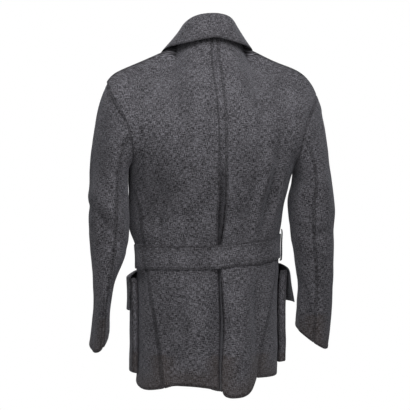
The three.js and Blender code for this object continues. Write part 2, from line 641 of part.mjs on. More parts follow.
// The collar's grid: each column runs up the stand, over the roll and down the fall.
function collarGrid() {
  const round = (name) => {
    const knots = (half) => (name === 'seam'
      ? [...half.neck, half.frontEdge.at(-2), collarEnd].map((knot, k) => (
        knot.map((value, axis) => value + collarGuides.lift[k][axis])))
      : collarGuides[name]);
    const share = name === 'seam' ? 1 : collarRightShare;
    const right = knots(rightHalf).map(([x, y, z]) => new THREE.Vector3(share * x, y, z));
    const left = knots(leftHalf).slice(1).reverse().map(([x, y, z]) => new THREE.Vector3(-x, y, z));
    if (name === 'seam') right[0].x = 0;
    return new THREE.CatmullRomCurve3([...left, ...right]);
  };
  const [seam, roll, edge] = ['seam', 'roll', 'edge'].map(round);
  const up = new THREE.Vector3(0, 0, 1);
  const columns = Array.from({ length: collarColumns + 1 }, (_, j) => {
    const t = 1 - j / collarColumns;
    const [foot, top, rim] = [seam.getPoint(t), roll.getPoint(t), edge.getPoint(t)];
    const away = rim.clone().sub(top).setZ(0).normalize();
    const bend = (angle) => top.clone().addScaledVector(away, -rollRadius * Math.cos(angle))
      .addScaledVector(up, rollRadius * Math.sin(angle));
    const arc = [0, 60, 120, 180].map((angle) => bend(angle * degrees));
    const bowed = (share) => arc.at(-1).clone().lerp(rim, share)
      .addScaledVector(away, 4 * share * (1 - share));
    return [foot, foot.clone().lerp(arc[0], 0.5), ...arc, bowed(0.35), bowed(0.7), rim];
  });
  return columns[0].map((_, i) => columns.map((column) => column[i]));
}

// A lapel lies on its front from the break up to the collar, widest at the top.
function lapelGrids(panel, side) {
  const low = side < 0 ? 0.3 : 0.46;
  const high = 0.7;
  const grid = (offset) => Array.from({ length: 8 }, (_, i) => {
    const share = i / 7;
    const row = lowerRows + upperRows * THREE.MathUtils.lerp(low, high, share);
    const width = lapelWidth * (0.12 + 0.88 * Math.sin(share * 90 * degrees));
    return Array.from({ length: 5 }, (__, j) => {
      const column = (width * j) / 4;
      return panel.at(row, side < 0 ? column : panel.columns - column, offset);
    });
  });
  const flip = side < 0 ? (points) => points : mirrored;
  return [flip(grid(lapelClearance + wall)), flip(grid(lapelClearance))];
}

// How far the belt is raised where it crosses the lapped fronts.
function overLap(angle) {
  return lapOffset * smooth(frontLapFrom, frontLapTo, Math.abs(turned(angle)));
}

// The belt runs once round and its end laps over its start at the front.
function beltGrids() {
  const grid = (offset) => [-0.5, 0, 0.5].map((share) => (
    Array.from({ length: beltColumns + 1 }, (_, j) => {
      const angle = THREE.MathUtils.lerp(beltStart, beltEnd, j / beltColumns);
      const lapped = (wall + beltLapGap) * smooth(beltLapFrom, beltLapFrom + beltLapRun, -angle);
      const z = readTable(beltHeights, 'at', 'z', turned(angle)) + share * beltWidth;
      return bodyPoint(angle, z, offset + lapped + overLap(angle));
    })));
  return [grid(beltClearance + wall), grid(beltClearance)];
}

// A strip whose rows stand off the body by given amounts, between two angles and at given heights.
function stripGrids(rear, fore, columns, rows) {
  const grid = (depth) => rows.map(([z, offset]) => (
    Array.from({ length: columns + 1 }, (_, j) => {
      const angle = THREE.MathUtils.lerp(rear, fore, j / columns);
      const height = typeof z === 'function' ? z(angle) : z;
      return bodyPoint(angle, height, offset - depth);
    })));
  return rear < fore ? [grid(0), grid(wall)] : [mirrored(grid(0)), mirrored(grid(wall))];
}

function loopRows({ up, down }) {
  const beltAt = (shift) => (angle) => readTable(beltHeights, 'at', 'z', turned(angle)) + shift;
  const held = loopSeat + wall;
  const out = beltClearance + 2 * wall + loopEase;
  return [[beltAt(-down), held], [beltAt(-beltWidth / 2 - 5), out], [beltAt(beltWidth / 2 + 2), out],
    [beltAt(up), held]];
}

function flapRows({ top, flapTop, flapEnd, proud, lift }) {
  const clear = proud + bagCrown + wall + flapClearance;
  const rows = [[flapTop, loopClearance + wall], [flapTop - 6, clear * 0.62], [top + 1.5, clear]];
  for (const share of [0.35, 0.7, 1]) {
    rows.push([THREE.MathUtils.lerp(top, flapEnd, share), THREE.MathUtils.lerp(clear, lift + wall, share)]);
  }
  return rows.reverse();
}

// A bellows pocket: its face stands off the panel and its gussets return to it at the sides and foot.
function pocketGrids({ rear, fore, top, bottom, proud }) {
  const grid = (depth) => {
    const inset = depth / 180;
    return [0, 0.012, 0.25, 0.5, 0.75, 1].map((v, i) => {
      const z = THREE.MathUtils.lerp(bottom + depth, top, v);
      return bagColumns.map((u) => {
        const share = THREE.MathUtils.lerp(inset, 1 - inset, u);
        const border = i === 0 || u === 0 || u === 1;
        const crown = bagCrown * Math.sin(Math.PI * u);
        const angle = THREE.MathUtils.lerp(rear, fore, share);
        return bodyPoint(angle, z, border ? loopClearance : proud + crown - depth);
      });
    });
  };
  return rear < fore ? [grid(0), grid(wall)] : [mirrored(grid(0)), mirrored(grid(wall))];
}

// A round button with a raised rim, its axis along +Y of its own geometry.
function buttonGeometry() {
  const profile = [[0, 0], [buttonRadius - 1.5, 0], [buttonRadius, 1.5], [buttonRadius - 1, buttonHeight],
    [buttonRadius - 3, buttonHeight - 1], [0, buttonHeight - 1.2]];
  return new THREE.LatheGeometry(profile.map(([r, h]) => new THREE.Vector2(r, h)), 14);
}

function seat(mesh, foot, above) {
  const normal = above.clone().sub(foot).normalize();
  mesh.position.copy(foot).addScaledVector(normal, buttonClearance);
  mesh.quaternion.setFromUnitVectors(new THREE.Vector3(0, 1, 0), normal);
}

const hue = { wool: 0x4e4c50, deepWool: 0x444245, button: 0x1d1b1c };
const coat = new THREE.Group();
coat.name = 'coat';

function add(name, geometry, color, roughness) {
  const material = new THREE.MeshStandardMaterial({ color, roughness, metalness: 0 });
  const mesh = new THREE.Mesh(geometry, material);
  mesh.name = name;
  coat.add(mesh);
  return mesh;
}

const backRight = new Panel('back_right', 'body', backGrid(rightHalf, 'seam'));
const backLeft = new Panel('back_left', 'body', mirrored(backGrid(leftHalf, 'fold')));
const frontRight = new Panel('front_right', 'body', mirrored(frontGrid(rightHalf, underLap)));
const frontLeft = new Panel('front_left', 'body', frontGrid(leftHalf, frontLap));
const pleat = new Panel('back_pleat', 'pleat', pleatGrid(backRight, backLeft));
const sleeveRight = sleeveGrid(rightHalf, rightSleeve, rightSleeveFolds);
const sleeveLeft = mirrored(sleeveGrid(leftHalf, leftSleeve, leftSleeveFolds));
const panels = [
  backRight, backLeft, frontRight, frontLeft, pleat,
  new Panel('sleeve_top_right', 'sleeve', columnsOf(sleeveRight, elbowSeam, foreSeam)),
  new Panel('sleeve_under_right', 'sleeve', underColumns(sleeveRight)),
  new Panel('sleeve_top_left', 'sleeve',
    columnsOf(sleeveLeft, ringColumns - foreSeam, ringColumns - elbowSeam)),
  new Panel('sleeve_under_left', 'sleeve', mirrored(underColumns(mirrored(sleeveLeft)))),
];
shareNormals(panels);
pleat.normals.forEach((row, i) => row.at(-1).copy(backRight.normals[i][0]));
panels.forEach((panel) => {
  panel.trim();
  add(panel.name, closeGrids(panel.points, panel.inner()), hue.wool, 0.95);
});

const collar = new Panel('collar', 'collar', collarGrid());
add('collar', closeGrids(collar.points, collar.inner()), hue.deepWool, 0.95);
add('lapel_left', closeGrids(...lapelGrids(frontLeft, -1)), hue.wool, 0.95);
add('lapel_right', closeGrids(...lapelGrids(frontRight, 1)), hue.wool, 0.95);
add('belt', closeGrids(...beltGrids()), hue.deepWool, 0.95);
for (const side of ['left', 'right']) {
  const loop = loopSizes[side];
  const pocket = pocketSizes[side];
  const margin = Math.sign(pocket.fore) * 1.5;
  const strap = stripGrids(loop.rear, loop.fore, 2, loopRows(loop));
  add(`belt_loop_${side}`, closeGrids(...strap), hue.wool, 0.95);
  add(`pocket_${side}`, closeGrids(...pocketGrids(pocket)), hue.wool, 0.95);
  const flap = stripGrids(pocket.rear - margin, pocket.fore + margin, 10, flapRows(pocket));
  add(`pocket_flap_${side}`, closeGrids(...flap), hue.deepWool, 0.95);
}
frontButtonRows.forEach((row, k) => {
  const button = add(`button_${k + 1}`, buttonGeometry(), hue.button, 0.4);
  seat(button, frontLeft.at(row, buttonColumn, 0), frontLeft.at(row, buttonColumn, 1));
});
const beltButton = add('belt_button', buttonGeometry(), hue.button, 0.4);
const beltHeight = readTable(beltHeights, 'at', 'z', turned(beltButtonAngle));
const beltFace = 2 * wall + beltClearance + beltLapGap + overLap(beltButtonAngle);
seat(beltButton, bodyPoint(beltButtonAngle, beltHeight, beltFace),
  bodyPoint(beltButtonAngle, beltHeight, beltFace + 1));

export default coat;
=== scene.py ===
"""A belted wool coat with no wearer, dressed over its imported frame, with its light and camera."""

from __future__ import annotations

import logging
import math
from dataclasses import dataclass, field
from enum import Enum

import bmesh
import bpy
import numpy as np
from mathutils import Matrix, Vector
from mathutils.kdtree import KDTree


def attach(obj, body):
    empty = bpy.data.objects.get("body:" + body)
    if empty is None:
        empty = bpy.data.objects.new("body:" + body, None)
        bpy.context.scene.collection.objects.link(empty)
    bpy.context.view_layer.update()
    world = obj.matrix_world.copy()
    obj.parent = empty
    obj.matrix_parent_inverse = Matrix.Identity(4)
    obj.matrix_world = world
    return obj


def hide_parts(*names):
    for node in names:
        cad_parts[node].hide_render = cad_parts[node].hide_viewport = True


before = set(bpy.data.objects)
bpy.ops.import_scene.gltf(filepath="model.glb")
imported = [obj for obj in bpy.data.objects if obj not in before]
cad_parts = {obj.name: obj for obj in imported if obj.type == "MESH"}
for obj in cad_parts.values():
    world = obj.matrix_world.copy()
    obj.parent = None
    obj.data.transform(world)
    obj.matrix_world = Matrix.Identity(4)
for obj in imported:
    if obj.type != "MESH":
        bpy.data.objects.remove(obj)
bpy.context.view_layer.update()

log = logging.getLogger("coat")

Pair = tuple[float, float]
Colour = tuple[float, float, float]


# ---------------------------------------------------------------- shader maths


class Reading:
    """A node's output, with arithmetic that adds Math nodes to the same tree."""

    def __init__(self, tree: bpy.types.NodeTree, socket: bpy.types.NodeSocket) -> None:
        """Keeps the tree and the socket.

        Args:
            tree: The node tree that new Math nodes go into.
            socket: The output socket that this reading stands for.
        """
        self.tree = tree
        self.socket = socket

    def _math(self, operation: str, *terms: Reading | float) -> Reading:
        """Adds one Math node.

        Args:
            operation: The Math node's operation.
            terms: Readings or numbers for its sockets, in order.

        Returns:
            The node's result.
        """
        node = self.tree.nodes.new("ShaderNodeMath")
        node.operation = operation
        for socket, term in zip(node.inputs, terms):
            if isinstance(term, Reading):
                self.tree.links.new(term.socket, socket)
            else:
                socket.default_value = term
        return Reading(self.tree, node.outputs[0])

    def __add__(self, other: Reading | float) -> Reading:
        """Returns self + other."""
        return self._math("ADD", self, other)

    __radd__ = __add__

    def __sub__(self, other: Reading | float) -> Reading:
        """Returns self - other."""
        return self._math("SUBTRACT", self, other)

    def __rsub__(self, other: Reading | float) -> Reading:
        """Returns other - self."""
        return self._math("SUBTRACT", other, self)

    def __mul__(self, other: Reading | float) -> Reading:
        """Returns self * other."""
        return self._math("MULTIPLY", self, other)

    __rmul__ = __mul__

    def __truediv__(self, other: Reading | float) -> Reading:
        """Returns self / other."""
        return self._math("DIVIDE", self, other)

    def __abs__(self) -> Reading:
        """Returns the size of the reading without its sign."""
        return self._math("ABSOLUTE", self)

    def sine(self) -> Reading:
        """Returns the sine of the reading, in radians."""
        return self._math("SINE", self)

    def rise(self, low: float, high: float) -> Reading:
        """Returns a smooth step from 0 at low to 1 at high."""
        node = self.tree.nodes.new("ShaderNodeMapRange")
        node.interpolation_type = "SMOOTHSTEP"
        self.tree.links.new(self.socket, node.inputs["Value"])
        node.inputs["From Min"].default_value = low
        node.inputs["From Max"].default_value = high
        return Reading(self.tree, node.outputs[0])


class Tree:
    """The node tree of one finish."""

    def __init__(self, name: str) -> None:
        """Makes an empty material.

        Args:
            name: The material's name.
        """
        self.material = bpy.data.materials.new(name)
        self.material.use_nodes = True
        self.nodes = self.material.node_tree
        self.nodes.nodes.clear()

    def add(
        self,
        kind: str,
        settings: dict[str, object] | None = None,
        sockets: dict[str, object] | None = None,
        out: str | int = 0,
    ) -> Reading:
        """Adds any node.

        Args:
            kind: The node's type.
            settings: Its settings, set first. The name stops gives a ramp's (place, colour) pairs.
            sockets: Values or readings for its sockets, by name or identifier.
            out: The output to return, by name or number.

        Returns:
            The reading of that output.
        """
        node = self.nodes.nodes.new(kind)
        for key, value in (settings or {}).items():
            if key == "stops":
                self._ramp(node.color_ramp, value)
            else:
                setattr(node, key, value)
        for key, value in (sockets or {}).items():
            socket = next(s for s in node.inputs if key in (s.identifier, s.name))
            if isinstance(value, Reading):
                self.nodes.links.new(value.socket, socket)
            else:
                socket.default_value = value
        if isinstance(out, str):
            return Reading(self.nodes, next(s for s in node.outputs if out in (s.identifier, s.name)))
        return Reading(self.nodes, node.outputs[out])

    @staticmethod
    def _ramp(ramp: bpy.types.ColorRamp, stops: list[tuple[float, Colour]]) -> None:
        """Sets a ramp's stops.

        Args:
            ramp: The ramp of a Color Ramp node.
            stops: (place, colour) pairs in rising order.
        """
        while len(ramp.elements) < len(stops):
            ramp.elements.new(0.5)
        for element, (place, colour) in zip(ramp.elements, stops):
            element.position = place
            element.color = (*colour, 1.0)

    def noise(self, place: Reading, scale: Colour, detail: float = 2.0) -> Reading:
        """Adds a noise stretched along its axes.

        Args:
            place: The coordinates, in metres.
            scale: Cells per metre along each axis.
            detail: Octaves of detail.

        Returns:
            The noise, from 0 to 1.
        """
        spread = self.add("ShaderNodeVectorMath", {"operation": "MULTIPLY"}, {"Vector": place, "Vector_001": scale})
        return self.add(
            "ShaderNodeTexNoise", None, {"Vector": spread, "Scale": 1.0, "Detail": detail, "Roughness": 0.55}
        )

    def blend(self, share: Reading | float, low: Reading | Colour, high: Reading | Colour) -> Reading:
        """Mixes two colours.

        Args:
            share: 0 for low and 1 for high.
            low: The first colour.
            high: The second colour.

        Returns:
            The mixed colour.
        """
        ends = [c if isinstance(c, Reading) else (*c, 1.0) for c in (low, high)]
        return self.add(
            "ShaderNodeMix",
            {"data_type": "RGBA"},
            {"Factor_Float": share, "A_Color": ends[0], "B_Color": ends[1]},
            "Result_Color",
        )

    def close(self, shader: Reading) -> bpy.types.Material:
        """Sends a shader to the material's output.

        Args:
            shader: The surface shader.

        Returns:
            The finished material.
        """
        output = self.nodes.nodes.new("ShaderNodeOutputMaterial")
        self.nodes.links.new(shader.socket, output.inputs["Surface"])
        return self.material


# ---------------------------------------------------------------- finishes


class Stitching(Enum):
    """How a piece's edges are sewn down."""

    NONE = 0
    EDGE = 1


@dataclass(frozen=True)
class WoolCloth:
    """A dense salt-and-pepper wool: dark ground, pale and black flecks, slubs both ways, a soft nap."""

    dark: Colour = (0.016, 0.015, 0.017)
    ground: Colour = (0.070, 0.067, 0.075)
    pale: Colour = (0.205, 0.200, 0.222)
    tan: Colour = (0.080, 0.058, 0.044)
    yarn: float = 0.0013
    stitch_in: float = 0.006
    stitch_pitch: float = 0.0042

    def build(self, name: str, stitching: Stitching, shade: float = 1.0) -> bpy.types.Material:
        """Makes the material.

        Args:
            name: The material's name.
            stitching: Whether a row of stitches runs along the piece's edges.
            shade: A factor on the cloth's colours.

        Returns:
            The material, which reads the piece's own UV map and attributes.
        """
        tree = Tree(name)
        place = tree.add("ShaderNodeUVMap", {"uv_map": "grain"})
        split = {"Vector": place}
        across = tree.add("ShaderNodeSeparateXYZ", None, split, "X")
        along = tree.add("ShaderNodeSeparateXYZ", None, split, "Y")
        rim = tree.add("ShaderNodeAttribute", {"attribute_name": "rim"}, None, "Fac")
        worn = tree.add("ShaderNodeAttribute", {"attribute_name": "worn"}, None, "Fac")
        # painted shade: a darkness painted into the fold troughs, deeper troughs darker
        crease_shade = tree.add("ShaderNodeAttribute", {"attribute_name": "painted_fold_shade"}, None, "Fac")

        warp_slub = tree.noise(place, (760.0, 120.0, 1.0), 1.5)
        weft_slub = tree.noise(place, (110.0, 760.0, 1.0), 1.5)
        pepper = tree.noise(place, (560.0, 560.0, 1.0), 3.0)
        cloud = tree.noise(place, (26.0, 20.0, 1.0), 3.0)
        turn = 2 * math.pi / self.yarn
        weave = (across * turn).sine() * (along * turn).sine()

        tone = 0.5 + 2.0 * (warp_slub - 0.5) + 2.3 * (weft_slub - 0.5) + 2.3 * (pepper - 0.5)
        tone = tone + 0.5 * (cloud - 0.5) + 0.05 * weave
        stops = [(0.10, self.dark), (0.46, self.ground), (0.92, self.pale)]
        stops = [(place_, tuple(c * shade for c in colour)) for place_, colour in stops]
        cloth = tree.add("ShaderNodeValToRGB", {"stops": stops}, {"Fac": tone}, "Color")
        cloth = tree.blend(worn * pepper.rise(0.35, 0.7), cloth, self.tan)
        # Darker along each piece's rounded edges: partly the seam's own dark line, partly painted shade where the
        # pieces meet, wider on the stitched pieces such as the belt; it also dents the bump.
        seam_dip_and_shade = 1.0 - rim.rise(0.0001, 0.0024 if stitching is Stitching.EDGE else 0.0015)
        # painted shade: the fold troughs and the pieces' meeting edges are mixed towards near-black
        cloth = tree.blend(0.42 * seam_dip_and_shade + 0.55 * crease_shade, cloth, (0.010, 0.009, 0.010))

        height = 0.30 * weave + 1.2 * warp_slub + 1.2 * weft_slub + 0.9 * pepper - 1.4 * seam_dip_and_shade
        if stitching is Stitching.EDGE:
            line = 1.0 - abs(rim - self.stitch_in).rise(0.0002, 0.0008)
            dash = ((across + along) * (2 * math.pi / self.stitch_pitch)).sine().rise(-0.55, 0.1)
            groove_and_shade = 1.0 - abs(rim - self.stitch_in).rise(0.0006, 0.0028)
            cloth = tree.blend(0.55 * line * dash, cloth, (0.115, 0.111, 0.118))
            # painted shade in the groove beside the row of stitches; the groove itself is also dented into the bump
            cloth = tree.blend(0.28 * groove_and_shade * (1.0 - line * dash), cloth, (0.012, 0.011, 0.012))
            height = height - 1.6 * groove_and_shade + 1.5 * line * dash
        bump = tree.add("ShaderNodeBump", None, {"Strength": 0.55, "Distance": 0.0007, "Height": height})
        shader = tree.add(
            "ShaderNodeBsdfPrincipled",
            None,
            {
                "Base Color": cloth,
                "Roughness": 0.86 + 0.16 * (pepper - 0.5),
                "Specular IOR Level": 0.22,
                "Sheen Weight": 0.22,
                "Sheen Roughness": 0.42,
                "Sheen Tint": (0.82, 0.83, 0.92, 1.0),
                "Normal": bump,
            },
        )
        return tree.close(shader)


@dataclass(frozen=True)
class HornButton:
    """Dark polished horn: black-brown with fine paler streaks."""

    deep: Colour = (0.010, 0.008, 0.007)
    streak: Colour = (0.055, 0.038, 0.028)

    def build(self, name: str) -> bpy.types.Material:
        """Makes the material, which reads Object coordinates.

        Args:
            name: The material's name.

        Returns:
            The material.
        """
        tree = Tree(name)
        place = tree.add("ShaderNodeTexCoord", None, None, "Object")
        grain = tree.noise(place, (260.0, 900.0, 180.0), 3.0)
        scuff = tree.noise(place, (2600.0, 2600.0, 2600.0), 2.0)
        colour = tree.blend(grain.rise(0.48, 0.74), self.deep, self.streak)
        bump = tree.add("ShaderNodeBump", None, {"Strength": 0.2, "Distance": 0.0002, "Height": scuff})
        shader = tree.add(
            "ShaderNodeBsdfPrincipled",
            None,
            {"Base Color": colour, "Roughness": 0.26 + 0.2 * scuff, "Normal": bump},
        )
        return tree.close(shader)


@dataclass(frozen=True)
class SewingThread:
    """Black twisted thread that holds the buttons."""

    colour: Colour = (0.018, 0.017, 0.018)

    def build(self, name: str) -> bpy.types.Material:
        """Makes the material, which reads Object coordinates.

        Args:
            name: The material's name.

        Returns:
            The material.
        """
        tree = Tree(name)
        place = tree.add("ShaderNodeTexCoord", None, None, "Object")
        twist = tree.noise(place, (3200.0, 3200.0, 1400.0), 2.0)
        colour = tree.blend(twist, self.colour, (0.05, 0.048, 0.05))
        bump = tree.add("ShaderNodeBump", None, {"Strength": 0.5, "Distance": 0.0002, "Height": twist})
        return tree.close(
            tree.add("ShaderNodeBsdfPrincipled", None, {"Base Color": colour, "Roughness": 0.8, "Normal": bump})
        )


@dataclass(frozen=True)
class PaleFloor:
    """A matt pale studio floor."""

    colour: Colour = (0.86, 0.86, 0.86)

    def build(self, name: str) -> bpy.types.Material:
        """Makes the material, which reads Object coordinates.

        Args:
            name: The material's name.

        Returns:
            The material.
        """
        tree = Tree(name)
        place = tree.add("ShaderNodeTexCoord", None, None, "Object")
        fine = tree.noise(place, (30.0, 30.0, 30.0), 2.0)
        colour = tree.blend(0.1 * fine, self.colour, (0.78, 0.78, 0.78))
        return tree.close(tree.add("ShaderNodeBsdfPrincipled", None, {"Base Color": colour, "Roughness": 0.7}))


# ---------------------------------------------------------------- modelling helpers


def only(*objects: bpy.types.Object) -> None:
    """Selects these objects alone and makes the first one active."""
    bpy.ops.object.select_all(action="DESELECT")
    for obj in objects:
        obj.select_set(True)
    bpy.context.view_layer.objects.active = objects[0]


def finish_with(obj: bpy.types.Object, kind: str, **settings: object) -> None:
    """Adds a modifier and applies it.

    Args:
        obj: The object.
        kind: The modifier's type.
        settings: The modifier's settings.
    """
    only(obj)
    modifier = obj.modifiers.new(kind.lower(), kind)
    for key, value in settings.items():
        setattr(modifier, key, value)
    bpy.ops.object.modifier_apply(modifier=modifier.name)


def points_of(mesh: bpy.types.Mesh) -> np.ndarray:
    """Returns a mesh's vertices as an array of three columns, in metres."""
    flat = np.empty(3 * len(mesh.vertices))
    mesh.vertices.foreach_get("co", flat)
    return flat.reshape(-1, 3)


def along_edges(mesh: bpy.types.Mesh, parts: int = 9) -> np.ndarray:
    """Returns places spread evenly along all of a mesh's edges, in metres."""
    ends = np.empty(2 * len(mesh.edges), dtype=int)
    mesh.edges.foreach_get("vertices", ends)
    start, end = points_of(mesh)[ends.reshape(-1, 2)].transpose(1, 0, 2)
    return np.concatenate([start + (end - start) * share for share in np.linspace(0.0, 1.0, parts)])


def step(low: float, high: float, value: np.ndarray) -> np.ndarray:
    """Returns a smooth step from 0 at low to 1 at high."""
    share = np.clip((value - low) / (high - low), 0.0, 1.0)
    return share * share * (3.0 - 2.0 * share)


def wrapped(angle: np.ndarray) -> np.ndarray:
    """Returns angles brought between minus and plus half a turn."""
    return (angle + math.pi) % (2 * math.pi) - math.pi


def put_values(mesh: bpy.types.Mesh, name: str, values: np.ndarray) -> None:
    """Stores one number a vertex as a mesh attribute.

    Args:
        mesh: The mesh.
        name: The attribute's name.
        values: One number for each vertex.
    """
    layer = mesh.attributes.new(name, "FLOAT", "POINT")
    layer.data.foreach_set("value", values.astype(np.float32))


# ---------------------------------------------------------------- the cloth's ground form


class Tube:
    """The body or a sleeve as a hollow round an axis, measured from its frame nodes.

    Angles run from the back (minus Y) towards plus X, and heights along Z.
    """

    bins = 96

    def __init__(self, nodes: tuple[str, ...], low: float, high: float, axis_top: float = 9.0) -> None:
        """Measures the hollow.

        Args:
            nodes: The frame nodes that make it up.
            low: The lowest height measured, in metres.
            high: The highest.
            axis_top: Above this height the axis stays where it is.
        """
        points = np.concatenate([along_edges(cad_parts[name].data) for name in nodes])
        self.pitch = 0.012
        self.heights = np.arange(low, high, self.pitch)
        self.turns = np.linspace(-math.pi, math.pi, self.bins + 1)
        centres: list[np.ndarray] = []
        radii: list[np.ndarray] = []
        for height in self.heights:
            ring = points[np.abs(points[:, 2] - height) < 0.009, :2]
            if height > axis_top and centres:
                centre = centres[-1]
            else:
                centre = (ring.min(axis=0) + ring.max(axis=0)) / 2
            away = ring - centre
            angle = np.arctan2(away[:, 0], -away[:, 1])
            order = np.argsort(angle)
            centres.append(centre)
            radii.append(
                np.interp(self.turns, angle[order], np.hypot(*away.T)[order], period=2 * math.pi)
            )
        self.centres = np.array(centres)
        self.radii = self._softened(np.array(radii))
        self.girth = self._lengths_round()
        self.rise = self._lengths_up()

    @staticmethod
    def _softened(table: np.ndarray) -> np.ndarray:
        """Returns the radii smoothed over neighbouring heights and angles."""
        for _ in range(3):
            ends = np.concatenate([table[:, -3:-1], table, table[:, 1:3]], axis=1)
            table = (ends[:, :-4] + 2 * ends[:, 1:-3] + 3 * ends[:, 2:-2] + 2 * ends[:, 3:-1] + ends[:, 4:]) / 9
            tall = np.concatenate([table[:1], table, table[-1:]])
            table = (tall[:-2] + 2 * tall[1:-1] + tall[2:]) / 4
        return table

    def _lengths_round(self) -> np.ndarray:
        """Returns the cloth's length from the back line to each angle, at each height."""
        places = np.stack([self.radii * np.sin(self.turns), -self.radii * np.cos(self.turns)], axis=-1)
        steps = np.linalg.norm(np.diff(places, axis=1), axis=-1)
        total = np.concatenate([np.zeros((len(self.heights), 1)), np.cumsum(steps, axis=1)], axis=1)
        return total - total[:, self.bins // 2 : self.bins // 2 + 1]

    def _lengths_up(self) -> np.ndarray:
        """Returns the cloth's length up from the lowest height, at each height and angle."""
        steps = np.hypot(np.diff(self.radii, axis=0), self.pitch)
        return np.concatenate([np.zeros((1, self.bins + 1)), np.cumsum(steps, axis=0)])

    def _read(self, table: np.ndarray, turn: np.ndarray, height: np.ndarray) -> np.ndarray:
        """Reads a table between its angles and heights."""
        row = np.clip((height - self.heights[0]) / self.pitch, 0, len(self.heights) - 1.001)
        column = np.clip((turn + math.pi) / (2 * math.pi) * self.bins, 0, self.bins - 0.001)
        i, j = row.astype(int), column.astype(int)
        v, u = row - i, column - j
        low = table[i, j] * (1 - u) + table[i, j + 1] * u
        high = table[i + 1, j] * (1 - u) + table[i + 1, j + 1] * u
        return low * (1 - v) + high * v

    def axis(self, height: np.ndarray) -> np.ndarray:
        """Returns the axis's x and y at heights."""
        return np.stack([np.interp(height, self.heights, self.centres[:, k]) for k in (0, 1)], axis=-1)

    def turn_of(self, points: np.ndarray) -> np.ndarray:
        """Returns each point's angle round the axis."""
        away = points[:, :2] - self.axis(points[:, 2])
        return np.arctan2(away[:, 0], -away[:, 1])

    def outward(self, turn: np.ndarray) -> np.ndarray:
        """Returns the level directions away from the axis."""
        return np.stack([np.sin(turn), -np.cos(turn), np.zeros_like(turn)], axis=-1)

    def skin(self, points: np.ndarray) -> np.ndarray:
        """Returns the place on the hollow's own cloth that lies under or over each point."""
        turn, height = self.turn_of(points), points[:, 2]
        radius = self._read(self.radii, turn, height)
        flat = self.axis(height) + self.outward(turn)[:, :2] * radius[:, None]
        return np.column_stack([flat, height])

    def proud(self, points: np.ndarray) -> np.ndarray:
        """Returns how far each point stands off the hollow's own cloth."""
        away = points[:, :2] - self.axis(points[:, 2])
        return np.linalg.norm(away, axis=1) - self._read(self.radii, self.turn_of(points), points[:, 2])

    def grain(self, turn: np.ndarray, height: np.ndarray) -> np.ndarray:
        """Returns the lengths along the cloth, round and up, at angles that may pass half a turn."""
        laps = np.floor((turn + math.pi) / (2 * math.pi))
        local = turn - 2 * math.pi * laps
        whole = self._read(self.girth, np.full_like(turn, math.pi), height)
        whole = whole - self._read(self.girth, np.full_like(turn, -math.pi), height)
        beyond = height - np.clip(height, self.heights[0], self.heights[-1])
        up = self._read(self.rise, local, height) + beyond
        return np.stack([self._read(self.girth, local, height) + laps * whole, up], -1)


# ---------------------------------------------------------------- folds


class Face(Enum):
    """Which side of a tube a fold lies on."""

    BACK = 1.0
    FRONT = -1.0
    ROUND = 0.0


@dataclass(frozen=True)
class Fold:
    """A soft ridge or trough of the cloth, seen along Y: points in x and z, height and half-width, in metres."""

    path: tuple[Pair, ...]
    rise: float
    reach: float
    face: Face = Face.BACK

    def height(self, skin: np.ndarray, turn: np.ndarray) -> np.ndarray:
        """Returns how far the fold lifts each place.

        Args:
            skin: Places on the cloth.
            turn: Their angles round the tube.

        Returns:
            Heights in metres.
        """
        flat = skin[:, [0, 2]]
        nearest = np.full(len(skin), np.inf)
        along = np.zeros(len(skin))
        parts = len(self.path) - 1
        for k in range(parts):
            start, end = np.array(self.path[k]), np.array(self.path[k + 1])
            run = end - start
            share = np.clip((flat - start) @ run / (run @ run), 0.0, 1.0)
            gap = np.linalg.norm(flat - start - share[:, None] * run, axis=1)
            closer = gap < nearest
            nearest = np.where(closer, gap, nearest)
            along = np.where(closer, (k + share) / parts, along)
        fade = 0.25 + 0.75 * np.sin(math.pi * np.clip(along, 0.06, 0.94))
        side = 1.0 if self.face is Face.ROUND else step(-0.05, 0.4, self.face.value * np.cos(turn))
        return self.rise * fade * side * np.exp(-((nearest / self.reach) ** 2))


@dataclass
class Relief:
    """How the cloth round one tube is lifted: its folds, and a soft unevenness that no pressing takes out."""

    tube: Tube
    folds: tuple[Fold, ...]
    seed: int
    swell: float = 0.0011
    ripple: float = 0.0004
    ceiling: float = 9.0
    still: np.ndarray = field(default_factory=lambda: np.zeros((0, 3)))

    def _uneven(self, places: np.ndarray, length: float, count: int, seed: int) -> np.ndarray:
        """Returns a smooth random height of about unit size.

        Args:
            places: Places on a plain cylinder.
            length: The usual length of a wave, in metres.
            count: How many waves are summed.
            seed: The seed of the waves' directions.
        """
        rng = np.random.default_rng(seed)
        total = np.zeros(len(places))
        for _ in range(count):
            way = rng.normal(size=3)
            way *= 2 * math.pi / (length * rng.uniform(0.7, 1.5)) / np.linalg.norm(way)
            total += np.sin(places @ way + rng.uniform(0, 2 * math.pi))
        return total / math.sqrt(count / 2)

    def lift(self, points: np.ndarray, own: tuple[Fold, ...] = ()) -> tuple[np.ndarray, np.ndarray]:
        """Finds how far points move.

        Args:
            points: Places in metres.
            own: Folds of the one piece that the points belong to.

        Returns:
            The moves, and their heights outwards.
        """
        turn = self.tube.turn_of(points)
        skin = self.tube.skin(points)
        drum = self.tube.outward(turn) * 0.13
        drum[:, 2] = points[:, 2]
        height = self.swell * self._uneven(drum, 0.16, 22, self.seed)
        height += self.ripple * self._uneven(drum, 0.055, 26, self.seed + 1)
        for fold in self.folds + own:
            height += fold.height(skin, turn)
        if len(self.still):
            gap = np.min(np.linalg.norm(points[:, None, :] - self.still[None], axis=-1), axis=1)
            height *= step(0.002, 0.05, gap)
        height *= 1.0 - step(self.ceiling - 0.08, self.ceiling, points[:, 2])
        return self.tube.outward(turn) * height[:, None], height


# ---------------------------------------------------------------- one cut piece of cloth

